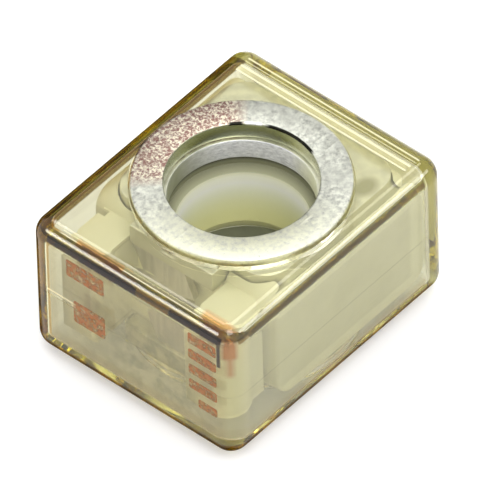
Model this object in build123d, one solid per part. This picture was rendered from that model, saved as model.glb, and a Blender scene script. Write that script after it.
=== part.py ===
"""Stud-mounted marine battery fuse: a clear moulded case round a ceramic body.

A battery stud passes through the ceramic body. Current enters one contact ring,
crosses its terminal plate, runs down the fusible link at the end of the body, and
leaves by the other plate and ring. The fuse works either way up, so each lower
piece is its upper twin turned half a turn about X.

The origin is on the stud axis at mid-height, +Z runs along the stud and +X points
away from the link. All sizes are in millimetres.
"""
import os

from build123d import *

# Clear case, moulded as two equal halves that are welded at mid-height
CASE_LENGTH = 20.0
CASE_WIDTH = 16.2
CASE_HEIGHT = 10.8
CASE_WALL = 0.8  # along the sides
CASE_END_WALL = 1.2
CASE_ROOF = 0.9
CASE_ROUND = 1.3
CAVITY_ROUND = 0.4
STUD_OFFSET = 0.5  # from the middle of the case to the stud axis, away from the link

# Stud passage, from the stud outwards
STUD_DIAMETER = 8.0
STUD_CLEARANCE = 0.15  # radial
COUNTERBORE_STEP = 0.48
COUNTERBORE_DEPTH = 0.5
BORE_CHAMFER = 0.4
PLATE_STEP = 0.4  # how far the plate's hole stands back from the bore
RING_STEP = 0.2  # how far the ring's hole stands back from the plate's

# Contact rings
RING_STAND = 0.35  # above the face of the case
RING_EDGE_BREAK = 0.12
RING_CLEARANCE = 0.07  # radial, between ring and case
HOLE_MARGIN = 0.45  # roof left between the ring's hole and the line of each side wall

# Terminal plates
PLATE_THICKNESS = 1.5
PLATE_ROUND = 1.8
PLATE_CLEARANCE = 0.1  # round the plate in its recess
TAB_WIDTH = 6.6
TAB_LIP = 0.2  # how far the tab reaches past the link
TAB_ROUND = 0.15

# Ceramic body
BODY_CLEARANCE = 0.25  # between the body and the walls of the case
BODY_HEADROOM = 0.45  # between the body and the roof of the case
BODY_FRONT = 5.6  # from the stud axis to the face at the link
BODY_END_ROUND = 1.4
BODY_EDGE_CHAMFER = 0.3
RECESS_RIM = 0.5  # ceramic left standing round the plate

# Horns: the two ceramic arms that guard the link
HORN_INSET = 0.8  # from the sides of the body
HORN_DROP = 0.85  # below the top of the body
HORN_ROUND = 0.35
SLOT_CLEARANCE = 0.25  # between the tab and each horn
ROOT_GROOVE_WIDTH = 0.5
ROOT_GROOVE_DEPTH = 0.5

# Fusible link, a flat strip that runs down aslant
LINK_THICKNESS = 0.5
LINK_GAP = 0.3  # between the link and the body
LINK_WIDTH = 4.1
LINK_NECK = 1.7  # width left at the middle
LINK_NOTCH_RADIUS = 1.1

# The case and its cavity
CASE_MIDDLE = -STUD_OFFSET
CASE_TOP = CASE_HEIGHT / 2
CAVITY_LENGTH = CASE_LENGTH - 2 * CASE_END_WALL
CAVITY_WIDTH = CASE_WIDTH - 2 * CASE_WALL
CAVITY_TOP = CASE_TOP - CASE_ROOF
CAVITY_FRONT = CASE_MIDDLE - CAVITY_LENGTH / 2
CAVITY_BACK = CASE_MIDDLE + CAVITY_LENGTH / 2

# The stud passage
BORE_RADIUS = STUD_DIAMETER / 2 + STUD_CLEARANCE
COUNTERBORE_RADIUS = BORE_RADIUS + COUNTERBORE_STEP
PLATE_HOLE_RADIUS = BORE_RADIUS + PLATE_STEP
RING_HOLE_RADIUS = PLATE_HOLE_RADIUS + RING_STEP
CASE_HOLE_RADIUS = CAVITY_WIDTH / 2 - HOLE_MARGIN
RING_RADIUS = CASE_HOLE_RADIUS - RING_CLEARANCE

# Levels of the stack: the plate fills the space between its seat and the case roof
PLATE_SEAT = CAVITY_TOP - PLATE_THICKNESS
COUNTERBORE_FLOOR = PLATE_SEAT - COUNTERBORE_DEPTH
RING_TOP = CASE_TOP + RING_STAND

# The ceramic body and its recesses
BODY_TOP = CAVITY_TOP - BODY_HEADROOM
BODY_BACK = CAVITY_BACK - BODY_CLEARANCE
BODY_LENGTH = BODY_BACK + BODY_FRONT
BODY_MIDDLE = (BODY_BACK - BODY_FRONT) / 2
BODY_WIDTH = CAVITY_WIDTH - 2 * BODY_CLEARANCE
RECESS_LENGTH = BODY_LENGTH - 2 * RECESS_RIM
RECESS_WIDTH = BODY_WIDTH - 2 * RECESS_RIM

# The link and the tabs that it joins
LINK_MIDDLE = -(BODY_FRONT + LINK_GAP + LINK_THICKNESS / 2)
TAB_END = LINK_MIDDLE - LINK_THICKNESS / 2 - TAB_LIP
SLOT_WIDTH = TAB_WIDTH + 2 * SLOT_CLEARANCE


def case_half():
    """Upper half of the case: a rounded tray with a round hole for the ring."""
    blank = Pos(CASE_MIDDLE, 0, 0) * Box(CASE_LENGTH, CASE_WIDTH, CASE_HEIGHT)
    blank = fillet(blank.edges(), CASE_ROUND)
    cavity = Pos(CASE_MIDDLE, 0, 0) * Box(CAVITY_LENGTH, CAVITY_WIDTH, 2 * CAVITY_TOP)
    cavity = fillet(cavity.edges(), CAVITY_ROUND)
    hole = Cylinder(CASE_HOLE_RADIUS, CASE_HEIGHT)
    return split(blank - cavity - hole, bisect_by=Plane.XY, keep=Keep.TOP)


def contact_ring():
    """Upper ring: a turned washer that stands on the plate and out of the case."""
    section = Pos(RING_HOLE_RADIUS, CAVITY_TOP) * Rectangle(
        RING_RADIUS - RING_HOLE_RADIUS, RING_TOP - CAVITY_TOP, align=Align.MIN
    )
    crown = section.vertices().group_by(Axis.Y)[-1]
    section = chamfer(crown, RING_EDGE_BREAK)
    return revolve(Plane.XZ * section, Axis.Z)


def terminal_plate():
    """Upper plate: a pressed square eye with a tab that reaches over the link."""
    eye = Pos(BODY_MIDDLE, 0) * RectangleRounded(
        RECESS_LENGTH - 2 * PLATE_CLEARANCE, RECESS_WIDTH - 2 * PLATE_CLEARANCE, PLATE_ROUND
    )
    tab = Pos(TAB_END / 2, 0) * Rectangle(-TAB_END, TAB_WIDTH)
    outline = eye + tab - Circle(PLATE_HOLE_RADIUS)
    plate = Pos(0, 0, PLATE_SEAT) * extrude(outline, PLATE_THICKNESS)
    tip = plate.faces().sort_by(Axis.X)[0]
    return fillet(tip.edges().filter_by(Axis.Y), TAB_ROUND)


def body_block():
    """Ceramic block with round ends, before its recesses and bore."""
    side = RectangleRounded(BODY_LENGTH, 2 * BODY_TOP, BODY_END_ROUND)
    block = extrude(Plane.XZ * Pos(BODY_MIDDLE, 0) * side, BODY_WIDTH / 2, both=True)
    flanks = block.faces().filter_by(Axis.Y)
    return chamfer(flanks.edges(), BODY_EDGE_CHAMFER)


def horn(side):
    """Ceramic arm on one side of the link, with the groove at its root."""
    front = CAVITY_FRONT + BODY_CLEARANCE
    root = BODY_END_ROUND - BODY_FRONT
    inner = SLOT_WIDTH / 2
    outer = BODY_WIDTH / 2 - HORN_INSET
    height = 2 * (BODY_TOP - HORN_DROP)
    arm = Pos((front + root) / 2, side * (inner + outer) / 2, 0) * Box(
        root - front, outer - inner, height
    )
    arm = fillet(arm.faces().sort_by(Axis.X)[0].edges(), HORN_ROUND)
    groove = Pos(-BODY_FRONT - ROOT_GROOVE_WIDTH / 2, side * outer, 0) * Box(
        ROOT_GROOVE_WIDTH, 2 * ROOT_GROOVE_DEPTH, height
    )
    return arm - groove


def plate_recess():
    """Pocket that seats the upper plate, open at the front for its tab."""
    depth = BODY_TOP - PLATE_SEAT
    pocket = Pos(BODY_MIDDLE, 0) * RectangleRounded(
        RECESS_LENGTH, RECESS_WIDTH, PLATE_ROUND + PLATE_CLEARANCE
    )
    channel_width = TAB_WIDTH + 2 * PLATE_CLEARANCE
    channel = Pos(-BODY_FRONT / 2, 0) * Rectangle(BODY_FRONT, channel_width)
    return Pos(0, 0, PLATE_SEAT) * extrude(pocket + channel, depth)


def stud_passage():
    """Half of the bore's outline turned about the stud: bore, chamfer and counterbore."""
    profile = Polygon(
        (0, 0),
        (BORE_RADIUS, 0),
        (BORE_RADIUS, COUNTERBORE_FLOOR - BORE_CHAMFER),
        (BORE_RADIUS + BORE_CHAMFER, COUNTERBORE_FLOOR),
        (COUNTERBORE_RADIUS, COUNTERBORE_FLOOR),
        (COUNTERBORE_RADIUS, PLATE_SEAT),
        (0, PLATE_SEAT),
        align=None,
    )
    return revolve(Plane.XZ * profile, Axis.Z)


def ceramic_body():
    """Insulating body: block, horns, a recess on each face and the stud's bore."""
    body = body_block() + horn(1) + horn(-1)
    for turn in (0, 180):
        body -= Rot(turn, 0, 0) * plate_recess()
        body -= Rot(turn, 0, 0) * stud_passage()
    return body


def fuse_link():
    """Slanting strip between the tabs, notched so that it melts at mid-height."""
    side = TAB_WIDTH / 2
    strip = Polygon(
        (side, PLATE_SEAT),
        (side - LINK_WIDTH, PLATE_SEAT),
        (-side, -PLATE_SEAT),
        (LINK_WIDTH - side, -PLATE_SEAT),
        align=None,
    )
    notch_place = LINK_NECK / 2 + LINK_NOTCH_RADIUS
    for sign in (1, -1):
        strip -= Pos(sign * notch_place, 0) * Circle(LINK_NOTCH_RADIUS)
    sheet = Plane.YZ.offset(LINK_MIDDLE) * strip
    return extrude(sheet, LINK_THICKNESS / 2, both=True)


def main():
    pieces = {
        "upper_cover": case_half(),
        "upper_contact_ring": contact_ring(),
        "upper_terminal_plate": terminal_plate(),
    }
    for name, piece in list(pieces.items()):
        pieces[name.replace("upper", "lower")] = Rot(180, 0, 0) * piece
    pieces["ceramic_body"] = ceramic_body()
    pieces["fuse_link"] = fuse_link()

    os.makedirs("parts", exist_ok=True)
    for name, piece in pieces.items():
        export_step(piece, f"parts/{name}.step")


main()
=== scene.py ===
"""Stud-mounted battery fuse, dressed for rendering.

A clear amber case, two tinned contact rings, two terminal plates, a ceramic body,
a fusible link and plain orange fields printed on the end of the case. Every piece
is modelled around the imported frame, in metres, with the stud along +Z.
"""
import math

import bmesh
import bpy
from mathutils import Matrix, Vector


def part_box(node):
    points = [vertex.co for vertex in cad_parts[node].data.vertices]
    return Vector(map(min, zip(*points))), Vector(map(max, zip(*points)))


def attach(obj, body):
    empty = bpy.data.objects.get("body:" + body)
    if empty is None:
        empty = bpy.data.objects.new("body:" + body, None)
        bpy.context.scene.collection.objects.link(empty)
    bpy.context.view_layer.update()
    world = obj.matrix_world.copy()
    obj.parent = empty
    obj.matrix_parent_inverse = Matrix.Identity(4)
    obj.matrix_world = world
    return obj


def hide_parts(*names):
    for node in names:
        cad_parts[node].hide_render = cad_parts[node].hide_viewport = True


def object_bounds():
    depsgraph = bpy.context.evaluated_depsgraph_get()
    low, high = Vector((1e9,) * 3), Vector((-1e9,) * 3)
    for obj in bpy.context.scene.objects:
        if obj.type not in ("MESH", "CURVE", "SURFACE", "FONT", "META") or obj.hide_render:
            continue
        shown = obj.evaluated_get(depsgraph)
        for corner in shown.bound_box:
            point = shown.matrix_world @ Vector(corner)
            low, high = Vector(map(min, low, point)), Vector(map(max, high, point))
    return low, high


bl_info = {
    "name": "Battery fuse",
    "version": (1, 0, 0),
    "blender": (4, 5, 0),
    "location": "3D View > Sidebar > Battery fuse",
    "description": "Builds a stud-mounted battery fuse in a clear case, piece by piece",
    "category": "Object",
}

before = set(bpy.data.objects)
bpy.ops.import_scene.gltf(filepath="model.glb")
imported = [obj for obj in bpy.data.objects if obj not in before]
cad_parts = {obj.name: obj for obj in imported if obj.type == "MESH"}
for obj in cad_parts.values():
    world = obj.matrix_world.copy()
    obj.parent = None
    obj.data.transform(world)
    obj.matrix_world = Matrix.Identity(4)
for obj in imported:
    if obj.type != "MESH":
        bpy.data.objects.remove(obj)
CAD_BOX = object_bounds()

MM = 0.001
HAIR = 1e-7  # places nearer than this, in metres, count as the same
CIRCLE_SLACK = 2e-6  # the same for points found on a cut circle
FACING = 0.9  # cosine above which a face counts as facing a way
PARALLEL = 0.999  # cosine above which an edge or a face counts as square to an axis
SMOOTH_ANGLE = math.radians(32)  # flatter edges are shaded smooth
SOFTEN_ANGLE = math.radians(40)  # sharper edges are broken
TURNED_STEPS = 144  # facets round a turned surface
NOTCH_STEPS = 64  # facets round a notch of the link
FLOOR_SIZE = 6  # metres
FLOOR_GAP = 0.02 * MM  # keeps the floor off the face of the lower ring

COVER_LOW, COVER_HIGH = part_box("upper_cover")
RING_LOW, RING_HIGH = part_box("upper_contact_ring")
PLATE_LOW, PLATE_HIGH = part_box("upper_terminal_plate")
BODY_LOW, BODY_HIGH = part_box("ceramic_body")
LINK_LOW, LINK_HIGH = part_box("fuse_link")


# ---------------------------------------------------------------- settings

def length(name, millimetres, description):
    """A length property, given in millimetres and stored in metres."""
    return bpy.props.FloatProperty(
        name=name,
        description=description,
        default=millimetres * MM,
        min=0,
        subtype="DISTANCE",
        unit="LENGTH",
        precision=5,
    )


def colour(name, rgb, description):
    """A linear colour property."""
    return bpy.props.FloatVectorProperty(
        name=name, description=description, default=rgb, size=3, min=0, max=1, subtype="COLOR"
    )


class FuseSizes(bpy.types.PropertyGroup):
    """Sizes of the pieces that the frame's boxes don't give."""

    side_wall: length("Side wall", 0.8, "Thickness of the long sides of the case")
    end_wall: length("End wall", 1.2, "Thickness of the ends of the case")
    roof: length("Roof", 0.9, "Thickness of the roof and the floor of the case")
    case_round: length("Case rounding", 1.3, "Radius of the outer edges of the case")
    cavity_round: length("Cavity rounding", 0.28, "Radius along the roof and floor inside")
    upright_round: length("Upright rounding", 0.55, "Radius of the upright corners inside")
    print_corner: length("Print corner", 1.0, "Radius of the inner corner by the print")
    case_hole: length("Case hole", 6.85, "Radius of the hole round each contact ring")
    hole_edge: length("Hole edge", 0.12, "Edge break of the hole in the case")
    seam_width: length("Seam width", 0.03, "Width of the weld line at mid-height")
    seam_depth: length("Seam depth", 0.008, "Depth of the weld line")
    gap_depth: length("Open seam depth", 0.35, "Depth of the open stretch of the weld line")
    gap_width: length("Open seam width", 0.02, "Width of that stretch at the surface")
    ring_hole: length("Ring hole", 4.75, "Radius of the hole in a contact ring")
    ring_edge: length("Ring edge", 0.12, "Edge break of a contact ring")
    plate_hole: length("Plate hole", 4.55, "Radius of the hole in a terminal plate")
    plate_round: length("Plate corner", 1.8, "Corner radius of a terminal plate")
    plate_front: length("Plate front", 5.0, "From the stud axis to the front of the eye")
    tab_width: length("Tab width", 6.6, "Width of the tab over the link")
    air_film: length("Air film", 0.02, "Between a terminal plate and the roof over it")
    plate_edge: length("Plate edge", 0.08, "Pressed edge of a terminal plate")
    body_front: length("Body front", 5.6, "From the stud axis to the face at the link")
    body_end_round: length("Body end rounding", 1.4, "Radius of the ends of the ceramic")
    body_edge: length("Body edge", 0.3, "Rounding along the ceramic's flanks")
    recess_rim: length("Recess rim", 0.5, "Ceramic left standing round a plate")
    recess_gap: length("Recess gap", 0.1, "Gap between a plate and its recess")
    bore: length("Bore", 4.15, "Radius of the stud passage")
    bore_chamfer: length("Bore chamfer", 0.4, "Chamfer at each end of the bore")
    counterbore: length("Counterbore", 4.63, "Radius of the step above the bore")
    counterbore_depth: length("Counterbore depth", 0.5, "Depth of that step")
    horn_inset: length("Horn inset", 0.8, "From the side of the ceramic to a horn")
    horn_drop: length("Horn drop", 0.85, "From the top of the ceramic to a horn's top")
    horn_round: length("Horn rounding", 0.35, "Radius of a horn's end")
    slot_gap: length("Slot gap", 0.25, "Between the tab and each horn")
    root_groove: length("Root groove", 0.5, "Width and depth of the groove at a horn's root")
    link_width: length("Link width", 4.1, "Width of the fusible strip")
    link_notch: length("Link notch", 1.1, "Radius of the two notches of the strip")
    link_neck: length("Link neck", 1.7, "Width left between the notches")
    link_edge: length("Link edge", 0.04, "Edge break of the strip")
    print_thickness: length("Print thickness", 0.03, "Thickness of a printed field")
    print_round: length("Print rounding", 0.15, "Corner radius of a printed field")


class FuseColours(bpy.types.PropertyGroup):
    """Colours of the finishes."""

    ceramic: colour("Ceramic", (0.95, 0.94, 0.71), "Unglazed body")
    tin: colour("Tin", (0.80, 0.81, 0.71), "Matte plating of the rings")
    copper: colour("Bare patch", (0.32, 0.17, 0.14), "Where the plating has worn through")
    plate: colour("Terminal plate", (0.76, 0.76, 0.63), "Bright dull plating")
    link: colour("Link", (0.66, 0.64, 0.56), "Rolled zinc strip")
    orange: colour("Print", (0.36, 0.12, 0.03), "Plain printed fields")
    floor: colour("Floor", (0.80, 0.80, 0.80), "Studio floor")


# ---------------------------------------------------------------- modelling

def clear_selection():
    """Leave edit mode and deselect everything."""
    if bpy.context.object is not None and bpy.context.object.mode != "OBJECT":
        bpy.ops.object.mode_set(mode="OBJECT")
    bpy.ops.object.select_all(action="DESELECT")


def take(piece):
    """Select one piece alone and make it the active one."""
    clear_selection()
    bpy.context.view_layer.objects.active = piece
    piece.select_set(True)


def settle(name):
    """Name the new primitive and move its place, turn and scale into its mesh."""
    piece = bpy.context.active_object
    piece.name = name
    piece.data.name = name
    bpy.ops.object.transform_apply(location=True, rotation=True, scale=True)
    return piece


def block(name, low, high):
    """A cube between two corners, with its place in its mesh."""
    clear_selection()
    low, high = Vector(low), Vector(high)
    bpy.ops.mesh.primitive_cube_add(size=1, location=(low + high) / 2, scale=high - low)
    return settle(name)


def drum(name, radius, low, high):
    """A cylinder round the stud axis, between two heights."""
    clear_selection()
    bpy.ops.mesh.primitive_cylinder_add(
        vertices=TURNED_STEPS, radius=radius, depth=high - low, location=(0, 0, (low + high) / 2)
    )
    return settle(name)


def turned(name, outline):
    """A solid turned about the stud axis, from (radius, height) pairs, lowest first."""
    clear_selection()
    radius, height = outline[0]
    bpy.ops.mesh.primitive_circle_add(
        vertices=TURNED_STEPS, radius=radius, fill_type="NGON", location=(0, 0, height)
    )
    piece = settle(name)
    edit(piece, "FACE")
    bpy.ops.mesh.select_all(action="SELECT")
    for next_radius, next_height in outline[1:]:
        bpy.ops.mesh.extrude_region_move(
            TRANSFORM_OT_translate={"value": (0, 0, next_height - height)}
        )
        factor = next_radius / radius
        bpy.ops.transform.resize(value=(factor, factor, 1), center_override=(0, 0, next_height))
        radius, height = next_radius, next_height
    face_outwards()
    leave_edit()
    return piece


def edit(piece, elements):
    """Enter edit mode on a piece, with nothing selected."""
    take(piece)
    bpy.ops.object.mode_set(mode="EDIT")
    bpy.ops.mesh.select_mode(type=elements)
    bpy.ops.mesh.select_all(action="DESELECT")


def pick(piece, elements, rule):
    """Select the vertices, edges or faces of the edited piece that meet a rule."""
    bpy.ops.mesh.select_mode(type=elements)
    bpy.ops.mesh.select_all(action="DESELECT")
    shell = bmesh.from_edit_mesh(piece.data)
    items = {"VERT": shell.verts, "EDGE": shell.edges, "FACE": shell.faces}[elements]
    found = [item for item in items if rule(item)]
    if not found:
        raise RuntimeError(f"nothing to select on {piece.name}")
    for item in found:
        item.select_set(True)
    bmesh.update_edit_mesh(piece.data)


def leave_edit():
    bpy.ops.object.mode_set(mode="OBJECT")


def round_off(radius, steps):
    """Round the selected edges of the edited piece."""
    bpy.ops.mesh.bevel(offset=radius, segments=steps, profile=0.5)


def slice_through(place, normal):
    """Mark a plane on every face of the edited piece that it crosses."""
    bpy.ops.mesh.select_all(action="SELECT")
    bpy.ops.mesh.bisect(plane_co=place, plane_no=normal, threshold=HAIR)


def face_outwards():
    """Turn every face of the edited piece outwards."""
    bpy.ops.mesh.select_all(action="SELECT")
    bpy.ops.mesh.normals_make_consistent(inside=False)


def middle(edge):
    return (edge.verts[0].co + edge.verts[1].co) / 2


def along(edge, axis):
    """True for an edge that runs along one axis."""
    run = edge.verts[1].co - edge.verts[0].co
    return abs(run[axis]) > PARALLEL * run.length


def around(edge):
    """True for an edge that runs round the stud axis at one height."""
    first, second = (vertex.co for vertex in edge.verts)
    level = abs(first.z - second.z) < HAIR
    return level and round(math.hypot(*first.xy), 6) == round(math.hypot(*second.xy), 6)


def on_circle(vertex, radius, height):
    """True for a vertex on a circle round the stud axis."""
    flat = math.hypot(vertex.co.x, vertex.co.y)
    return abs(flat - radius) < CIRCLE_SLACK and abs(vertex.co.z - height) < CIRCLE_SLACK


def apply_modifier(piece, kind, **values):
    """Add a modifier to a piece and apply it."""
    take(piece)
    modifier = piece.modifiers.new(kind.title(), kind)
    for key, value in values.items():
        setattr(modifier, key, value)
    bpy.ops.object.modifier_apply(modifier=modifier.name)


def combine(piece, others, operation):
    """Cut other pieces out of a piece, or weld them to it, then throw them away."""
    for other in others:
        apply_modifier(piece, "BOOLEAN", object=other, operation=operation, solver="EXACT")
        bpy.data.objects.remove(other)


def cut(piece, *tools):
    combine(piece, tools, "DIFFERENCE")


def weld(piece, *others):
    combine(piece, others, "UNION")


def finish_surface(piece):
    """Smooth the shading of a piece and keep its flat faces flat."""
    take(piece)
    bpy.ops.object.shade_smooth_by_angle(angle=SMOOTH_ANGLE)
    apply_modifier(piece, "WEIGHTED_NORMAL", keep_sharp=True, weight=50)


def soften(piece, width, steps=2):
    """Break the sharp edges of a piece."""
    apply_modifier(
        piece,
        "BEVEL",
        width=width,
        segments=steps,
        limit_method="ANGLE",
        angle_limit=SOFTEN_ANGLE,
        use_clamp_overlap=True,
    )


def twin(piece, name):
    """A copy with its own mesh, turned half a turn about X."""
    take(piece)
    bpy.ops.object.duplicate(linked=False)
    bpy.context.active_object.rotation_euler = (math.pi, 0, 0)
    return settle(name)


def dress(piece, slot, material, *nodes):
    """Give a piece its material and its ride, and hide the nodes it stands for; the slot is not
    used.
    """
    piece.data.materials.clear()
    piece.data.materials.append(material)
    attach(piece, "root")
    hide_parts(*nodes)


# ---------------------------------------------------------------- nodes

class Nodes:
    """A node tree under construction, with short ways to add nodes that feed each other."""

    def __init__(self, tree, place):
        self.tree = tree
        self.place = self.add("ShaderNodeTexCoord").outputs[place]

    def add(self, kind, **settings):
        node = self.tree.nodes.new(kind)
        for key, value in settings.items():
            setattr(node, key, value)
        return node

    def join(self, source, target):
        self.tree.links.new(source, target)

    def feed(self, target, value):
        """Link a socket, or set a plain value, on a target socket."""
        if isinstance(value, bpy.types.NodeSocket):
            self.join(value, target)
        else:
            target.default_value = value

    def spread(self, value, low, high, to_low=0.0, to_high=1.0):
        """Map a range of values to another, held at its ends."""
        node = self.add("ShaderNodeMapRange", clamp=True)
        self.feed(node.inputs["Value"], value)
        for key, number in zip(
            ("From Min", "From Max", "To Min", "To Max"), (low, high, to_low, to_high)
        ):
            node.inputs[key].default_value = number
        return node.outputs["Result"]

    def math(self, operation, a, b=0.0):
        node = self.add("ShaderNodeMath", operation=operation)
        self.feed(node.inputs[0], a)
        self.feed(node.inputs[1], b)
        return node.outputs["Value"]

    def vector(self, operation, a, b=None):
        """Vector arithmetic; returns the vector, or the value of a dot product or length."""
        node = self.add("ShaderNodeVectorMath", operation=operation)
        self.feed(node.inputs[0], a)
        if b is not None:
            self.feed(node.inputs[1], b)
        single = operation in ("DOT_PRODUCT", "LENGTH")
        return node.outputs["Value" if single else "Vector"]

    def axis(self, name, source=None):
        """One coordinate of the place, or of another vector."""
        node = self.add("ShaderNodeSeparateXYZ")
        self.join(source or self.place, node.inputs["Vector"])
        return node.outputs[name]


class Finish(Nodes):
    """A material under construction: its shader, and patterns that feed it."""

    def __init__(self, name):
        self.material = bpy.data.materials.new(name)
        self.material.use_nodes = True
        super().__init__(self.material.node_tree, "Object")
        self.shader = self.tree.nodes["Principled BSDF"]
        self.output = self.tree.nodes["Material Output"]

    def give(self, name, value):
        """Feed one of the shader's sockets; a plain value is set on the socket itself."""
        self.feed(self.shader.inputs[name], value)

    def noise(self, scale, detail=3.0, roughness=0.5, stretch=None, distortion=0.0):
        """Noise over the piece's own place, with scale in features per millimetre."""
        node = self.add("ShaderNodeTexNoise")
        source = self.place
        if stretch is not None:
            mapping = self.add("ShaderNodeMapping")
            mapping.inputs["Scale"].default_value = stretch
            self.join(source, mapping.inputs["Vector"])
            source = mapping.outputs["Vector"]
        self.join(source, node.inputs["Vector"])
        node.inputs["Scale"].default_value = scale / MM
        node.inputs["Detail"].default_value = detail
        node.inputs["Roughness"].default_value = roughness
        node.inputs["Distortion"].default_value = distortion
        return node.outputs["Fac"]

    def mix(self, share, a, b):
        """Mix two values."""
        node = self.add("ShaderNodeMix", data_type="FLOAT")
        for socket, value in zip((node.inputs[0], node.inputs[2], node.inputs[3]), (share, a, b)):
            self.feed(socket, value)
        return node.outputs[0]

    def blend(self, share, a, b, mode="MIX"):
        """Mix two colours."""
        node = self.add("ShaderNodeMix", data_type="RGBA", blend_type=mode)
        self.feed(node.inputs["Factor"], share)
        for key, value in (("A", a), ("B", b)):
            socket = next(s for s in node.inputs if s.name == key and s.type == "RGBA")
            self.feed(socket, value if isinstance(value, bpy.types.NodeSocket) else (*value, 1))
        return next(s for s in node.outputs if s.type == "RGBA")

    def flat(self):
        """The place seen along the stud axis."""
        return self.vector("MULTIPLY", self.place, (1, 1, 0))

    def radius(self):
        """Distance from the stud axis, in metres."""
        return self.vector("LENGTH", self.flat())

    def within(self, radius, near=0.02, far=0.06):
        """Share that falls from 1 to 0 between two distances in mm outside a radius."""
        return self.spread(self.radius(), radius + far * MM, radius + near * MM)

    def lower_half(self):
        """1 under mid-height and 0 above it."""
        return self.spread(self.axis("Z"), 0.001 * MM, -0.001 * MM)

    def sector(self, degrees, start, full):
        """Share that grows from start to full degrees either side of a direction."""
        heading = self.vector("NORMALIZE", self.flat())
        a = math.radians(degrees)
        near = self.vector("DOT_PRODUCT", heading, (math.cos(a), math.sin(a), 0))
        return self.spread(near, math.cos(math.radians(start)), math.cos(math.radians(full)))

    def region(self, x=None, y=None, z=None, soft=0.08):
        """Share of the place inside a range of each axis, in millimetres."""
        share = 1.0
        for name, limits in (("X", x), ("Y", y), ("Z", z)):
            for limit, side in zip(limits or (), (1, -1)):
                if limit is None:
                    continue
                edge = limit * MM
                inside = self.spread(
                    self.axis(name), edge - side * soft * MM / 2, edge + side * soft * MM / 2
                )
                share = self.math("MULTIPLY", share, inside)
        return share

    def ramp(self, value, stops):
        """Colours at given values, blended in between."""
        low, high = stops[0][0], stops[-1][0]
        node = self.add("ShaderNodeValToRGB")
        self.join(self.spread(value, low, high), node.inputs["Fac"])
        band = node.color_ramp
        band.elements[0].color = (*stops[0][1], 1)
        band.elements[1].color = (*stops[-1][1], 1)
        for place, tone in stops[1:-1]:
            band.elements.new((place - low) / (high - low)).color = (*tone, 1)
        return node.outputs["Color"]

    def bump(self, height, distance, after=None):
        """Raise the surface by a height map, over a distance in millimetres."""
        node = self.add("ShaderNodeBump")
        node.inputs["Strength"].default_value = 1.0
        node.inputs["Distance"].default_value = distance * MM
        self.join(height, node.inputs["Height"])
        if after is not None:
            self.join(after, node.inputs["Normal"])
        return node.outputs["Normal"]


# ---------------------------------------------------------------- finishes
# Ranges along x, y and z are in millimetres, and None leaves a side open.

WHITE = (1.0, 1.0, 1.0)

AMBER_IOR = 1.57
AMBER_BODY = (0.90, 0.87, 0.42)  # what the plastic lets through
AMBER_DENSITY = 320.0  # absorption per metre

# Colours of the painted shade along the case's edges; the orange and red ones are painted
# reflections of the print.
BROWN = (0.24, 0.10, 0.008)
MID_BROWN = (0.34, 0.17, 0.010)
DARK_BROWN = (0.08, 0.042, 0.003)
LIGHT_BROWN = (0.34, 0.20, 0.07)
LINE_BROWN = (0.50, 0.44, 0.28)
BLACK = (0.010, 0.005, 0.003)
ORANGE = (0.90, 0.38, 0.12)
RED_ORANGE = (0.62, 0.17, 0.08)
SHADED = (0.34, 0.32, 0.26)

CASE_EDGE_SHADES = (  # tone, x, y, z, softness: painted shade and painted print reflections on the outer faces of the case
    (MID_BROWN, (None, 8.0), (6.5, None), (4.3, 5.34), 0.1),
    (DARK_BROWN, (None, 8.0), (6.5, None), (5.34, None), 0.1),
    (BROWN, (None, -9.4), (6.7, None), None, 0.1),
    (BROWN, (None, -9.7), None, (None, -4.2), 0.1),
    (BROWN, (None, 8.0), (None, -7.3), (None, -4.2), 0.1),
    (LIGHT_BROWN, (-9.6, 7.6), (None, -7.4), (4.41, 4.74), 0.06),
    (ORANGE, (None, -9.6), (0.9, 4.6), (5.02, 5.3), 0.1),
    (LINE_BROWN, (9.05, None), None, (4.4, None), 0.1),
    (ORANGE, (-10.2, -9.3), (-8.0, -5.2), (5.1, None), 0.3),
    (RED_ORANGE, (None, -9.75), (None, -7.3), (3.3, 5.0), 0.3),
    (RED_ORANGE, (None, -9.95), (None, -7.55), (1.8, 3.5), 0.4),
    (BLACK, (None, -9.9), (-0.5, 6.6), (4.38, 4.86), 0.08),
    (LIGHT_BROWN, (None, -9.9), (-3.1, -0.5), (4.38, 4.86), 0.08),
    (BLACK, (None, -9.9), (-7.2, -3.1), (4.38, 4.86), 0.08),
    (BLACK, (None, -10.3), (-7.2, -6.95), (2.5, 4.4), 0.08),
    (SHADED, (7.46, 7.78), (None, -7.9), (-4.0, 4.2), 0.1),
)

# Colours of the painted highlight lines on the case.
GOLD = (1.0, 0.84, 0.42)
STRAW = (1.0, 0.95, 0.60)
PALE_STRAW = (1.0, 0.95, 0.62)
WARM_STRAW = (1.0, 0.92, 0.62)
LINE_SOFTNESS = 0.06

CASE_HIGHLIGHTS = (  # tone, cloudiness, x, y, z: painted highlight lines, pale and cloudy, along the edges and the weld
    (GOLD, 0.85, (None, -10.4), (2.4, 6.6), (0.33, 0.43)),
    (GOLD, 0.85, (None, -10.4), (2.9, 4.7), (0.12, 0.18)),
    (STRAW, 0.70, (8.25, 8.37), (-7.0, 6.6), (5.0, None)),
    (STRAW, 0.50, (7.98, 8.05), (-7.0, 6.6), (5.0, None)),
    (PALE_STRAW, 0.75, (7.50, 7.68), (-6.9, 6.6), (5.0, None)),
    (PALE_STRAW, 0.20, (7.19, 7.50), (-6.9, 6.6), (5.0, None)),
    (PALE_STRAW, 0.75, (7.08, 7.19), (-6.9, 6.6), (5.0, None)),
    (WARM_STRAW, 0.40, (None, -9.6), (-6.8, 6.8), (4.90, 4.99)),
)

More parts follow.
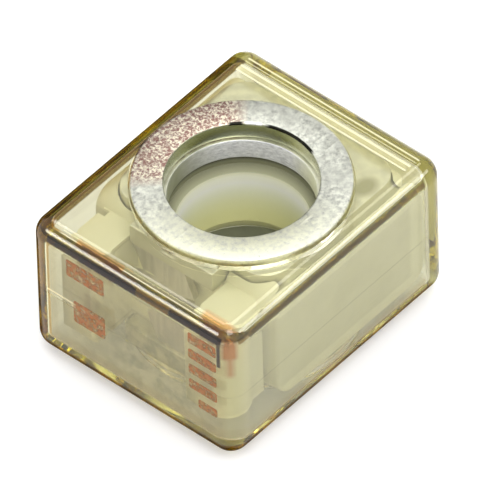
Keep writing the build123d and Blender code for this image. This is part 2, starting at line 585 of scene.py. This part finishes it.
BORE_SHADES = (  # height in millimetres, tone: painted shade down the bore of the ceramic, with painted light at mid-height
    (-3.2, (0.36, 0.36, 0.22)),
    (-2.6, (0.84, 0.82, 0.48)),
    (-2.1, (0.92, 0.90, 0.46)),
    (-1.2, (0.90, 0.89, 0.48)),
    (-0.3, (0.90, 0.90, 0.58)),
    (0.4, (0.92, 0.93, 0.72)),
    (1.2, (1.00, 1.00, 0.94)),
    (1.8, (1.00, 1.00, 0.86)),
    (2.07, (0.90, 0.90, 0.68)),
    (2.12, (0.38, 0.38, 0.24)),
    (2.45, (0.22, 0.22, 0.13)),
    (2.7, (0.22, 0.22, 0.14)),
    (3.0, (0.03, 0.03, 0.02)),
)


def amber_plastic(low, high, wall):
    """Clear amber moulding: polished, a little hazy inside, with painted shade in browns along
    its edges and painted highlight lines.
    """
    finish = Finish("amber_plastic")
    smudge = finish.noise(0.35, detail=4)

    # The faces of the cavity lie a wall's thickness in from the outer faces.
    centre, half = (low + high) / 2, (high - low) / 2
    offset = finish.vector("ABSOLUTE", finish.vector("SUBTRACT", finish.place, centre))
    beyond = finish.vector("SUBTRACT", offset, half - wall)
    most = finish.math("MAXIMUM", finish.axis("X", beyond), finish.axis("Y", beyond))
    most = finish.math("MAXIMUM", most, finish.axis("Z", beyond))
    inner = finish.spread(most, 0.1 * MM, 0.02 * MM)
    outer = finish.math("SUBTRACT", 1.0, inner)

    # Polished outside, hazy inside, and frosted inside the far end.
    end = high.x - wall.x
    frosted_end = finish.spread(finish.axis("X"), end - 0.3 * MM, end - 0.1 * MM)
    polish = finish.spread(smudge, 0.45, 0.75, 0.008, 0.03)
    haze = finish.spread(smudge, 0.3, 0.7, 0.02, 0.06)
    haze = finish.math("MAXIMUM", haze, finish.math("MULTIPLY", frosted_end, 0.8))
    finish.give("Roughness", finish.mix(inner, polish, haze))

    # Nearly clear, with painted shade along the outer edges and painted reflections of the print
    # in orange.
    tint = finish.blend(finish.spread(smudge, 0.3, 0.8), WHITE, (0.985, 0.98, 0.96))
    for tone, x, y, z, soft in CASE_EDGE_SHADES:
        share = finish.math("MULTIPLY", outer, finish.region(x, y, z, soft))
        tint = finish.blend(share, tint, tone)

    # Darker blotchy tones inside the printed end and one side, and painted shade in a patch
    # across the end.
    blotches = finish.spread(finish.noise(0.45, detail=5, roughness=0.6), 0.45, 0.7)
    side_tone = finish.blend(blotches, (0.88, 0.88, 0.82), (0.80, 0.80, 0.73))
    end_tone = finish.blend(blotches, (0.90, 0.81, 0.66), (0.62, 0.55, 0.42))
    end_tone = finish.blend(finish.region(y=(5.4, None), soft=0.5), end_tone, (0.60, 0.56, 0.45))
    shade_patch = finish.spread(finish.noise(0.9, detail=5, roughness=0.6), 0.42, 0.62)
    shade_patch = finish.math("MULTIPLY", shade_patch, finish.region(y=(-4.6, 1.2), z=(-3.6, 1.0), soft=1.6))
    end_tone = finish.blend(shade_patch, end_tone, (0.44, 0.41, 0.29))
    reach = 0.05  # how far past a wall the darker tone goes
    for tone, x, y in (
        (end_tone, (None, (low.x + wall.x) / MM + reach), None),
        (side_tone, None, (None, (low.y + wall.y) / MM + reach)),
    ):
        share = finish.math("MULTIPLY", inner, finish.region(x, y))
        tint = finish.blend(share, tint, tone)

    # A little less clear inside, and pale and cloudy along the painted highlight lines.
    clear = finish.spread(inner, 0.0, 1.0, 1.0, 0.93)
    for tone, cloud, x, y, z in CASE_HIGHLIGHTS:
        line = finish.region(x, y, z, LINE_SOFTNESS)
        tint = finish.blend(line, tint, tone)
        clear = finish.math("MINIMUM", clear, finish.spread(line, 0.0, 1.0, 1.0, 1.0 - cloud))
    finish.give("Base Color", tint)
    finish.give("Transmission Weight", clear)
    finish.give("Normal", finish.bump(finish.noise(0.12, detail=1), 0.002))
    finish.give("IOR", AMBER_IOR)

    volume = finish.add("ShaderNodeVolumeAbsorption")
    volume.inputs["Color"].default_value = (*AMBER_BODY, 1)
    volume.inputs["Density"].default_value = AMBER_DENSITY
    finish.join(volume.outputs["Volume"], finish.output.inputs["Volume"])
    return finish.material


def cream_ceramic(colours, bore):
    """Unglazed cream ceramic: fine grain, slight mottling, painted shade on its flanks and down
    its bore.
    """
    finish = Finish("cream_ceramic")
    base = Vector(colours.ceramic)
    mottle = finish.noise(0.5, detail=4)
    tone = finish.blend(finish.spread(mottle, 0.35, 0.65), base * 0.96, base)

    # Painted shade: greyer flanks, except beside the link and at the far end.
    height = finish.math("ABSOLUTE", finish.axis("Z"))
    flank = finish.spread(height, 3.1 * MM, 2.9 * MM)
    flank = finish.math("MULTIPLY", flank, finish.spread(finish.axis("X"), 6.9 * MM, 6.5 * MM))
    by_link = finish.region((None, -5.4), (-3.8, 3.8), (-2.8, 2.8))
    flank = finish.math("SUBTRACT", flank, by_link)
    tone = finish.blend(flank, tone, (0.84, 0.83, 0.80), mode="MULTIPLY")

    # Painted shade down the bore: nearly black just under the plate, painted light at mid-height,
    # darker again near the lower end.
    shade = finish.ramp(finish.axis("Z"), [(z * MM, stop) for z, stop in BORE_SHADES])
    finish.give("Base Color", finish.blend(finish.within(bore, 0.5, 0.6), tone, shade))

    grain = finish.noise(9.0, detail=3)
    finish.give("Roughness", finish.spread(grain, 0.3, 0.7, 0.55, 0.75))
    finish.give("Normal", finish.bump(grain, 0.012))
    return finish.material


def matte_tin(colours, hole):
    """Matte tin plating, scratched, with a painted highlight at the front and painted shade in
    its hole, worn to copper on one side.
    """
    finish = Finish("matte_tin")
    finish.give("Metallic", 1.0)
    base = Vector(colours.tin)
    fine = finish.noise(3.0, detail=6, roughness=0.75)
    cloud = finish.noise(0.8, detail=3)
    tone = finish.blend(finish.spread(fine, 0.36, 0.6), base * 0.55, base * 1.12)
    tone = finish.blend(finish.spread(cloud, 0.4, 0.65, 0.0, 0.55), tone, base * 0.82)

    # Painted highlight: brighter at the front.
    front = finish.sector(220, 75, 30)
    bright = finish.blend(finish.spread(fine, 0.3, 0.55), base * 0.85, (0.90, 0.90, 0.68))
    tone = finish.blend(finish.math("MULTIPLY", front, 0.85), tone, bright)

    # Worn through to copper in specks on one side, with painted light on that side.
    side = finish.sector(86, 50, 40)
    speckle = finish.noise(5.5, detail=5, roughness=0.75, distortion=0.4)
    worn = finish.math("MULTIPLY", side, finish.spread(speckle, 0.42, 0.55))
    lit = finish.blend(side, tone, (1.0, 0.94, 0.75))
    tone = finish.blend(worn, lit, Vector(colours.copper))

    # The wall of the hole, with painted light on one side and painted shade elsewhere, much
    # darker in the lower ring.
    wall = finish.within(hole)
    upper = finish.blend(finish.sector(-50, 60, 25), (0.50, 0.52, 0.38), (0.84, 0.84, 0.68))
    both = finish.blend(finish.lower_half(), upper, (0.10, 0.10, 0.07))
    tone = finish.blend(wall, tone, both)

    # The broken edge of the hole, with painted shade on one side and a painted glint beside it.
    rim = finish.within(hole, 0.13, 0.16)
    rim = finish.math("MULTIPLY", rim, finish.region(z=(5.6, None), soft=0.04))
    dark = finish.math("MAXIMUM", finish.sector(0, 24, 20), finish.sector(45, 6, 4))
    tone = finish.blend(finish.math("MULTIPLY", rim, dark), tone, (0.02, 0.02, 0.015))
    glint = finish.math("MULTIPLY", rim, finish.sector(32, 7, 5))
    finish.give("Base Color", finish.blend(glint, tone, WHITE))

    rough = finish.spread(fine, 0.3, 0.7, 0.26, 0.44)
    finish.give("Roughness", finish.mix(wall, rough, 0.12))

    lines = finish.noise(2.0, detail=2, stretch=(0.15, 2.2, 1.0))
    scratch = finish.bump(finish.spread(lines, 0.6, 0.7), 0.005)
    finish.give("Normal", finish.bump(fine, 0.02, after=scratch))
    return finish.material


def dull_plate(colours, hole):
    """Plated copper, bright on its faces and grey on the sheared wall of its hole, with painted
    shade on that wall and near one corner.
    """
    finish = Finish("dull_plate")
    base = Vector(colours.plate)
    mottle = finish.noise(1.6, detail=4)
    tone = finish.blend(finish.spread(mottle, 0.35, 0.65), base * 0.9, base * 1.1)
    # Painted shade: a dark spot near one corner.
    spot = finish.vector("SUBTRACT", finish.flat(), Vector((4.9, -5.6, 0)) * MM)
    spot = finish.vector("LENGTH", finish.vector("MULTIPLY", spot, (0.75, 1.0, 1.0)))
    tone = finish.blend(finish.spread(spot, 0.85 * MM, 0.4 * MM), tone, (0.44, 0.43, 0.28))

    # The sheared wall of the hole, streaked, with painted shade on one side and in the lower
    # plate and painted light on another side.
    wall = finish.within(hole)
    streaks = finish.noise(2.5, detail=5, roughness=0.7, stretch=(1, 1, 2.5))
    sheared = finish.blend(
        finish.spread(streaks, 0.35, 0.65), (0.60, 0.60, 0.64), (0.96, 0.96, 1.00)
    )
    sheared = finish.blend(finish.sector(132, 75, 30), sheared, (0.30, 0.31, 0.22))
    sheared = finish.blend(finish.sector(-50, 50, 20), sheared, (0.88, 0.88, 0.66))
    both = finish.blend(finish.lower_half(), sheared, (0.24, 0.25, 0.16))
    tone = finish.blend(wall, tone, both)

    # The pressed outer edge, duller than the faces, in a cream tone that paints light onto these
    # shaded sides.
    normal = finish.add("ShaderNodeTexCoord").outputs["Normal"]
    upright = finish.spread(finish.math("ABSOLUTE", finish.axis("Z", normal)), 0.6, 0.3)
    edge = finish.math("MULTIPLY", upright, finish.math("SUBTRACT", 1.0, wall))
    finish.give("Base Color", finish.blend(edge, tone, (0.66, 0.65, 0.46)))
    dull = finish.math("MAXIMUM", wall, edge)
    finish.give("Metallic", finish.spread(dull, 0.0, 1.0, 1.0, 0.3))
    finish.give("Roughness", finish.spread(mottle, 0.3, 0.7, 0.32, 0.5))
    finish.give("Normal", finish.bump(finish.noise(7.0), 0.008))
    return finish.material


def rolled_zinc(colours):
    """Rolled strip with lengthwise streaks."""
    finish = Finish("rolled_zinc")
    finish.give("Metallic", 1.0)
    base = Vector(colours.link)
    streak = finish.noise(3.0, detail=3, stretch=(1, 1, 0.08))
    tone = finish.blend(finish.spread(streak, 0.35, 0.65), base * 0.85, base * 1.1)
    finish.give("Base Color", tone)
    finish.give("Roughness", finish.spread(streak, 0.3, 0.7, 0.3, 0.5))
    finish.give("Normal", finish.bump(streak, 0.008))
    return finish.material


def orange_ink(colours):
    """Thin orange ink with pin-holes and worn places."""
    finish = Finish("orange_ink")
    speckle = finish.noise(5.0, detail=3, roughness=0.6)
    faded = (0.34, 0.22, 0.09)
    tone = finish.blend(finish.spread(speckle, 0.5, 0.62), Vector(colours.orange), faded)
    finish.give("Base Color", tone)
    finish.give("Roughness", finish.spread(speckle, 0.3, 0.7, 0.45, 0.7))
    finish.give("Normal", finish.bump(speckle, 0.006))
    worn = finish.noise(2.2, detail=4, roughness=0.6)
    finish.give("Alpha", finish.spread(worn, 0.34, 0.56, 0.1, 0.9))
    return finish.material


# ---------------------------------------------------------------- pieces

class FUSE_OT_clear_case(bpy.types.Operator):
    """Model the clear case, welded from two halves, with a hole for each ring"""

    bl_idname = "fuse.clear_case"
    bl_label = "Clear case"

    OPEN_FROM = 0.3  # where the weld line opens, as a share of the half width
    OPEN_TAPER = 0.2  # height of the opening at its root, as a share of that at its mouth

    def execute(self, context):
        sizes = context.scene.fuse_sizes
        top = COVER_HIGH.z
        low = Vector((COVER_LOW.x, COVER_LOW.y, -top))
        high = Vector((COVER_HIGH.x, COVER_HIGH.y, top))
        wall = Vector((sizes.end_wall, sizes.side_wall, sizes.roof))

        case = block("clear_case", low, high)
        edit(case, "EDGE")
        bpy.ops.mesh.select_all(action="SELECT")
        round_off(sizes.case_round, 12)
        for level in (-sizes.seam_width / 2, 0, sizes.seam_width / 2):
            slice_through((0, 0, level), (0, 0, 1))
        pick(case, "VERT", lambda v: abs(v.co.z) < HAIR)
        bpy.ops.transform.shrink_fatten(value=-sizes.seam_depth)
        leave_edit()

        cavity = self.cavity(sizes, low + wall, high - wall)
        hole = drum("hole", sizes.case_hole, -2 * top, 2 * top)
        cut(case, cavity, hole, self.open_seam(sizes, low, high))

        def on_rim(v):
            return on_circle(v, sizes.case_hole, math.copysign(top, v.co.z))

        edit(case, "EDGE")
        pick(case, "EDGE", lambda e: all(on_rim(v) for v in e.verts))
        round_off(sizes.hole_edge, 3)
        leave_edit()
        finish_surface(case)
        amber = amber_plastic(low, high, wall)
        dress(case, "clear_case", amber, "upper_cover", "lower_cover")
        return {"FINISHED"}

    def cavity(self, sizes, low, high):
        """The space inside, with a wider corner behind the print."""
        cavity = block("cavity", low, high)
        edit(cavity, "EDGE")
        pick(cavity, "EDGE", lambda e: along(e, 2) and middle(e).x < 0 and middle(e).y < 0)
        round_off(sizes.print_corner, 8)
        pick(cavity, "EDGE", lambda e: along(e, 2) and (middle(e).x > 0 or middle(e).y > 0))
        round_off(sizes.upright_round, 8)
        pick(cavity, "EDGE", lambda e: not along(e, 2))
        round_off(sizes.cavity_round, 6)
        leave_edit()
        return cavity

    def open_seam(self, sizes, low, high):
        """Wedge that opens the weld line along part of the end wall."""
        half = sizes.gap_width / 2
        start = high.y * self.OPEN_FROM
        wedge = block(
            "wedge", (low.x - half, start, -half), (low.x + sizes.gap_depth, high.y + half, half)
        )
        edit(wedge, "FACE")
        pick(wedge, "FACE", lambda f: f.normal.x > FACING)
        bpy.ops.transform.resize(value=(1, 1, self.OPEN_TAPER))
        leave_edit()
        return wedge


class FUSE_OT_contact_rings(bpy.types.Operator):
    """Model the two contact rings, turned washers that stand out of the case"""

    bl_idname = "fuse.contact_rings"
    bl_label = "Contact rings"

    def execute(self, context):
        sizes = context.scene.fuse_sizes
        radius = RING_HIGH.x
        ring = drum("upper_ring", radius, RING_LOW.z, RING_HIGH.z)
        edit(ring, "FACE")
        pick(ring, "FACE", lambda f: abs(f.normal.z) > FACING)
        bpy.ops.mesh.inset(thickness=radius - sizes.ring_hole)
        bpy.ops.mesh.delete(type="FACE")
        pick(ring, "EDGE", lambda e: e.is_boundary)
        bpy.ops.mesh.bridge_edge_loops()
        pick(ring, "EDGE", around)
        round_off(sizes.ring_edge, 4)
        face_outwards()
        leave_edit()
        finish_surface(ring)
        other = twin(ring, "lower_ring")
        finish = matte_tin(context.scene.fuse_colours, sizes.ring_hole)
        dress(ring, "tin_plate", finish, "upper_contact_ring")
        dress(other, "tin_plate", finish, "lower_contact_ring")
        return {"FINISHED"}


class FUSE_OT_terminal_plates(bpy.types.Operator):
    """Model the two terminal plates, pressed eyes with a tab over the link"""

    bl_idname = "fuse.terminal_plates"
    bl_label = "Terminal plates"

    def execute(self, context):
        sizes = context.scene.fuse_sizes
        low = Vector((-sizes.plate_front, PLATE_LOW.y, PLATE_LOW.z))
        high = PLATE_HIGH - Vector((0, 0, sizes.air_film))
        half_tab = sizes.tab_width / 2
        plate = block("upper_plate", low, high)
        edit(plate, "EDGE")
        pick(plate, "EDGE", lambda e: along(e, 2))
        round_off(sizes.plate_round, 10)
        for side in (-half_tab, half_tab):
            slice_through((0, side, 0), (0, 1, 0))
        pick(
            plate,
            "FACE",
            lambda f: f.normal.x < -PARALLEL and abs(f.calc_center_median().y) < half_tab,
        )
        bpy.ops.mesh.extrude_region_move(
            TRANSFORM_OT_translate={"value": (PLATE_LOW.x - low.x, 0, 0)}
        )
        leave_edit()
        cut(plate, drum("eye", sizes.plate_hole, 0, 2 * PLATE_HIGH.z))
        soften(plate, sizes.plate_edge, steps=3)
        finish_surface(plate)
        other = twin(plate, "lower_plate")
        finish = dull_plate(context.scene.fuse_colours, sizes.plate_hole)
        dress(plate, "terminal_metal", finish, "upper_terminal_plate")
        dress(other, "terminal_metal", finish, "lower_terminal_plate")
        return {"FINISHED"}


class FUSE_OT_ceramic_body(bpy.types.Operator):
    """Model the ceramic body with its bore, recesses and the horns that guard the link"""

    bl_idname = "fuse.ceramic_body"
    bl_label = "Ceramic body"

    def execute(self, context):
        sizes = context.scene.fuse_sizes
        top, side, back = BODY_HIGH.z, BODY_HIGH.y, BODY_HIGH.x
        body = block("body", (-sizes.body_front, -side, -top), (back, side, top))
        edit(body, "EDGE")
        pick(body, "EDGE", lambda e: along(e, 1))
        round_off(sizes.body_end_round, 12)
        pick(body, "EDGE", lambda e: abs(abs(middle(e).y) - side) < HAIR)
        round_off(sizes.body_edge, 5)
        leave_edit()
        for sign in (1, -1):
            weld(body, self.horn(sizes, sign))
        for sign in (1, -1):
            cut(body, *self.recess(sizes, sign))
        cut(body, self.passage(sizes))
        finish_surface(body)
        body.name = "ceramic_core"
        finish = cream_ceramic(context.scene.fuse_colours, sizes.bore)
        dress(body, "cream_ceramic", finish, "ceramic_body")
        return {"FINISHED"}

    def horn(self, sizes, sign):
        """One arm, with the groove at its root."""
        front = BODY_LOW.x
        root = sizes.body_end_round - sizes.body_front
        inner = sizes.tab_width / 2 + sizes.slot_gap
        outer = BODY_HIGH.y - sizes.horn_inset
        top = BODY_HIGH.z - sizes.horn_drop
        near, far = sorted((sign * inner, sign * outer))
        arm = block("horn", (front, near, -top), (root, far, top))
        edit(arm, "EDGE")
        pick(arm, "EDGE", lambda e: all(abs(v.co.x - front) < HAIR for v in e.verts))
        round_off(sizes.horn_round, 6)
        leave_edit()
        width = sizes.root_groove
        near, far = sorted((sign * (outer - width), sign * (outer + width)))
        face = -sizes.body_front
        groove = block("groove", (face - width, near, -2 * top), (face, far, 2 * top))
        cut(arm, groove)
        return arm

    def recess(self, sizes, sign):
        """Pocket for a plate, open at the front for its tab."""
        rim, gap = sizes.recess_rim, sizes.recess_gap
        seat, above = PLATE_LOW.z, 2 * BODY_HIGH.z
        low_z, high_z = sorted((sign * seat, sign * above))
        pocket = block(
            "pocket",
            (rim - sizes.body_front, rim - BODY_HIGH.y, low_z),
            (BODY_HIGH.x - rim, BODY_HIGH.y - rim, high_z),
        )
        edit(pocket, "EDGE")
        pick(pocket, "EDGE", lambda e: along(e, 2))
        round_off(sizes.plate_round + gap, 10)
        leave_edit()
        half = sizes.tab_width / 2 + gap
        channel = block("channel", (-sizes.body_front - MM, -half, low_z), (0, half, high_z))
        return pocket, channel

    def passage(self, sizes):
        """The stud's bore with its chamfers and counterbores, turned in one piece."""
        seat = PLATE_LOW.z
        floor = seat - sizes.counterbore_depth
        wide = sizes.bore + sizes.bore_chamfer
        upper = (
            (sizes.bore, floor - sizes.bore_chamfer),
            (wide, floor),
            (sizes.counterbore, floor),
            (sizes.counterbore, seat + MM),
        )
        outline = [(radius, -z) for radius, z in reversed(upper)] + list(upper)
        return turned("passage", outline)


class FUSE_OT_link(bpy.types.Operator):
    """Model the fusible link, a slanting strip notched at mid-height"""

    bl_idname = "fuse.link"
    bl_label = "Fusible link"

    def execute(self, context):
        sizes = context.scene.fuse_sizes
        half = sizes.link_width / 2
        slant = LINK_HIGH.y - half
        link = block(
            "link_strip", (LINK_LOW.x, -half, LINK_LOW.z), (LINK_HIGH.x, half, LINK_HIGH.z)
        )
        edit(link, "FACE")
        for sign in (1, -1):
            pick(link, "FACE", lambda f, s=sign: f.normal.z * s > FACING)
            bpy.ops.transform.translate(value=(0, sign * slant, 0))
        leave_edit()
        centre = LINK_LOW.x / 2 + LINK_HIGH.x / 2
        place = sizes.link_neck / 2 + sizes.link_notch
        for sign in (1, -1):
            clear_selection()
            bpy.ops.mesh.primitive_cylinder_add(
                vertices=NOTCH_STEPS,
                radius=sizes.link_notch,
                depth=4 * (LINK_HIGH.x - LINK_LOW.x),
                location=(centre, sign * place, 0),
                rotation=(0, math.pi / 2, 0),
            )
            cut(link, settle("notch"))
        soften(link, sizes.link_edge)
        finish_surface(link)
        dress(link, "link_metal", rolled_zinc(context.scene.fuse_colours), "fuse_link")
        return {"FINISHED"}


class FUSE_OT_print_fields(bpy.types.Operator):
    """Print plain orange fields on the end of the case"""

    bl_idname = "fuse.print_fields"
    bl_label = "Print fields"

    FIELDS = (  # low y, high y, low z, high z, in millimetres
        (2.0, 5.0, 2.6, 4.0),
        (2.0, 4.5, -1.1, 0.7),
        (-6.9, -4.7, 3.2, 4.1),
        (-6.9, -4.7, 1.9, 2.7),
        (-6.9, -4.7, 0.6, 1.4),
        (-6.9, -4.7, -0.7, 0.1),
        (-6.9, -5.4, -2.0, -1.3),
    )

    def execute(self, context):
        sizes = context.scene.fuse_sizes
        outer_x = COVER_LOW.x - sizes.print_thickness / 3  # the rest sinks into the wall
        inner_x = COVER_LOW.x + 2 * sizes.print_thickness / 3
        fields = None
        for low_y, high_y, low_z, high_z in self.FIELDS:
            field = block(
                "print_field",
                (outer_x, low_y * MM, low_z * MM),
                (inner_x, high_y * MM, high_z * MM),
            )
            edit(field, "EDGE")
            pick(field, "EDGE", lambda e: along(e, 0))
            round_off(sizes.print_round, 4)
            leave_edit()
            if fields is None:
                fields = field
                continue
            take(fields)
            field.select_set(True)
            bpy.ops.object.join()
        fields.name = "print_fields"
        finish_surface(fields)
        fields.data.materials.append(orange_ink(context.scene.fuse_colours))
        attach(fields, "root")
        return {"FINISHED"}


# ---------------------------------------------------------------- stage

CLEAR_BOUNCES = 48  # lets light run along inside the clear walls
MIRROR_BOUNCES = 12

# A dark card under and beside the fuse shows only in mirror-like reflections.
CARD_TONE = (0.06, 0.04, 0.015)
CARD_LEFT, CARD_BACK = -11, 8  # edges of its wide part, in millimetres
CARD_STRIPS = (  # x and y of its narrow parts, in millimetres
    ((CARD_LEFT, -9.3), (-8.5, None)),
    ((CARD_LEFT, 9.6), (-8.5, -7.4)),
)
UPRIGHT_CARD = (147.6, 11.7)  # azimuth and elevation of the card that stands beside it
UPRIGHT_EDGE = (0.885, 0.94)  # cosines between which that card fades in
UPRIGHT_SHADE = 0.92

FLOOR_SEEN = 0.28  # what the floor adds to look pale to the camera
FLOOR_MIRRORED = 0.14  # and in metal and glass
SKY_ENDS = ((0.0, 0.95), (1.0, 0.3))  # height, strength of the world's light
SKY_BETWEEN = ((0.3, 0.9), (0.72, 0.74), (0.85, 0.45))

LAMP_DISTANCE = 1.6
LAMPS = (  # name, azimuth, elevation, width, height, watts
    ("key_softbox", -28, 62, 0.9, 0.9, 11.0),
    ("top_softbox", 0, 88, 1.2, 1.2, 4.0),
    ("end_strip", -122, 28, 0.34, 0.34, 2.6),
    ("side_strip", 36, 28, 0.34, 0.34, 2.0),
    ("overhead_strip", 132, 66, 1.5, 0.28, 5.0),
)

CAMERA_TURN = (-48.04, 46.06, -1.735)  # azimuth, elevation and roll, in degrees
CAMERA_DISTANCE = 1.2
CAMERA_LENS, CAMERA_SENSOR = 1487, 36  # millimetres
VIEW_CENTRE = (-0.5, 0, 0.1)  # millimetres
VIEW_RIGHT, VIEW_UP = 0.125, 0.554  # how far the view moves across that, in millimetres


def aim(azimuth, elevation):
    """Unit vector towards an azimuth and elevation in degrees; azimuth 0 lies along -Y."""
    a, e = math.radians(azimuth), math.radians(elevation)
    return Vector((math.sin(a) * math.cos(e), -math.cos(a) * math.cos(e), math.sin(e)))


class FUSE_OT_stage(bpy.types.Operator):
    """Set the floor, the lamps and the camera"""

    bl_idname = "fuse.stage"
    bl_label = "Stage"

    def execute(self, context):
        self.floor(context)
        self.world(context)
        self.lamps()
        self.camera(context)
        context.scene.view_settings.view_transform = "Standard"
        cycles = context.scene.cycles
        cycles.max_bounces = CLEAR_BOUNCES
        cycles.transmission_bounces = CLEAR_BOUNCES
        cycles.glossy_bounces = MIRROR_BOUNCES
        return {"FINISHED"}

    def floor(self, context):
        """A wide pale plane, clear from below, with the card in its reflections."""
        clear_selection()
        bpy.ops.mesh.primitive_plane_add(
            size=FLOOR_SIZE, location=(0, 0, CAD_BOX[0].z - FLOOR_GAP)
        )
        plane = settle("floor")
        finish = Finish("pale_floor")
        base = Vector(context.scene.fuse_colours.floor)
        tone = finish.blend(
            finish.spread(finish.noise(0.02, detail=2), 0.3, 0.7), base * 0.995, base
        )
        rays = finish.add("ShaderNodeLightPath").outputs
        glossy, through = rays["Is Glossy Ray"], rays["Is Transmission Ray"]

        wedge = finish.spread(
            finish.math("SUBTRACT", finish.axis("Y"), finish.axis("X")), -1.0 * MM, 0.0
        )
        corner = finish.region(x=(CARD_LEFT, None), y=(CARD_BACK, None), soft=1.0)
        card = finish.math("MULTIPLY", corner, wedge)
        for x, y in CARD_STRIPS:
            card = finish.math("MAXIMUM", card, finish.region(x, y, soft=1.0))
        bounced = finish.math("SUBTRACT", glossy, through)
        card = finish.math("MULTIPLY", card, finish.spread(bounced, 0.0, 1.0))
        finish.give("Base Color", finish.blend(card, tone, CARD_TONE))
        finish.give("Roughness", 0.8)
        finish.give("Specular IOR Level", 0.1)

        seen = finish.math("MULTIPLY", rays["Is Camera Ray"], FLOOR_SEEN)
        mirrored = finish.math("MAXIMUM", glossy, through)
        mirrored = finish.math("MULTIPLY", mirrored, FLOOR_MIRRORED)
        seen = finish.math("MAXIMUM", seen, mirrored)
        seen = finish.math("MULTIPLY", seen, finish.math("SUBTRACT", 1.0, card))
        glow = finish.add("ShaderNodeEmission")
        finish.join(seen, glow.inputs["Strength"])
        both = finish.add("ShaderNodeAddShader")
        finish.join(finish.shader.outputs["BSDF"], both.inputs[0])
        finish.join(glow.outputs["Emission"], both.inputs[1])

        sides = finish.add("ShaderNodeNewGeometry")
        clear = finish.add("ShaderNodeBsdfTransparent")
        under = finish.add("ShaderNodeMixShader")
        finish.join(sides.outputs["Backfacing"], under.inputs[0])
        finish.join(both.outputs["Shader"], under.inputs[1])
        finish.join(clear.outputs["BSDF"], under.inputs[2])
        finish.join(under.outputs["Shader"], finish.output.inputs["Surface"])
        plane.data.materials.append(finish.material)

    def world(self, context):
        """Pale light from all round, weaker overhead, with the upright card in reflections."""
        world = bpy.data.worlds.new("studio")
        world.use_nodes = True
        sky = Nodes(world.node_tree, "Generated")
        rays = sky.add("ShaderNodeLightPath").outputs

        level = sky.add("ShaderNodeFloatCurve")
        sky.join(sky.axis("Z"), level.inputs["Value"])
        points = level.mapping.curves[0].points
        for point, place in zip(points, SKY_ENDS):
            point.location = place
        for place in SKY_BETWEEN:
            points.new(*place)
        level.mapping.update()

        toward = sky.vector("DOT_PRODUCT", sky.place, aim(*UPRIGHT_CARD))
        card = sky.spread(toward, *UPRIGHT_EDGE, 0.0, UPRIGHT_SHADE)
        card = sky.math("MULTIPLY", card, rays["Is Glossy Ray"])
        strength = sky.math(
            "MULTIPLY", level.outputs["Value"], sky.math("SUBTRACT", 1.0, card)
        )
        for ray in ("Is Camera Ray", "Is Transmission Ray"):
            strength = sky.math("MAXIMUM", strength, rays[ray])
        back = sky.tree.nodes["Background"]
        back.inputs["Color"].default_value = (*WHITE, 1)
        sky.join(strength, back.inputs["Strength"])
        context.scene.world = world

    def lamps(self):
        """Soft lamps round the fuse, all at one distance."""
        for name, azimuth, elevation, width, height, power in LAMPS:
            direction = aim(azimuth, elevation)
            clear_selection()
            bpy.ops.object.light_add(type="AREA", location=direction * LAMP_DISTANCE)
            lamp = bpy.context.active_object
            lamp.name = name
            lamp.data.shape = "RECTANGLE"
            lamp.data.size = width
            lamp.data.size_y = height
            lamp.data.energy = power
            lamp.rotation_euler = direction.to_track_quat("Z", "Y").to_euler()
            lamp.visible_camera = False

    def camera(self, context):
        """A long lens that looks down on one corner of the case."""
        azimuth, elevation, roll = (math.radians(angle) for angle in CAMERA_TURN)
        turn = (
            Matrix.Rotation(azimuth, 4, "Z")
            @ Matrix.Rotation(math.pi / 2 - elevation, 4, "X")
        )
        right, up, back = (turn.to_3x3().col[i] for i in range(3))
        target = Vector(VIEW_CENTRE) * MM + right * VIEW_RIGHT * MM + up * VIEW_UP * MM
        clear_selection()
        bpy.ops.object.camera_add()
        camera = context.active_object
        camera.name = "studio_camera"
        camera.data.sensor_width = CAMERA_SENSOR
        camera.data.lens = CAMERA_LENS
        camera.matrix_world = (
            Matrix.Translation(target + back * CAMERA_DISTANCE)
            @ turn
            @ Matrix.Rotation(roll, 4, "Z")
        )
        context.scene.camera = camera


# ---------------------------------------------------------------- panel

class FUSE_PT_pieces(bpy.types.Panel):
    """Buttons that model the fuse, piece by piece"""

    bl_idname = "FUSE_PT_pieces"
    bl_label = "Battery fuse"
    bl_space_type = "VIEW_3D"
    bl_region_type = "UI"
    bl_category = "Battery fuse"

    def draw(self, context):
        column = self.layout.column(align=True)
        for operator in OPERATORS:
            column.operator(operator.bl_idname)
        for group in (context.scene.fuse_sizes, context.scene.fuse_colours):
            column.separator()
            for key in group.__annotations__:
                column.prop(group, key)


OPERATORS = (
    FUSE_OT_contact_rings,
    FUSE_OT_terminal_plates,
    FUSE_OT_ceramic_body,
    FUSE_OT_link,
    FUSE_OT_clear_case,
    FUSE_OT_print_fields,
    FUSE_OT_stage,
)
CLASSES = (FuseSizes, FuseColours, *OPERATORS, FUSE_PT_pieces)


def register():
    for cls in CLASSES:
        bpy.utils.register_class(cls)
    bpy.types.Scene.fuse_sizes = bpy.props.PointerProperty(type=FuseSizes)
    bpy.types.Scene.fuse_colours = bpy.props.PointerProperty(type=FuseColours)


def unregister():
    del bpy.types.Scene.fuse_colours
    del bpy.types.Scene.fuse_sizes
    for cls in reversed(CLASSES):
        bpy.utils.unregister_class(cls)


def main():
    """Model every piece in turn, then set the stage."""
    register()
    bpy.ops.fuse.contact_rings()
    bpy.ops.fuse.terminal_plates()
    bpy.ops.fuse.ceramic_body()
    bpy.ops.fuse.link()
    bpy.ops.fuse.clear_case()
    bpy.ops.fuse.print_fields()
    bpy.ops.fuse.stage()


if __name__ == "__main__":
    main()
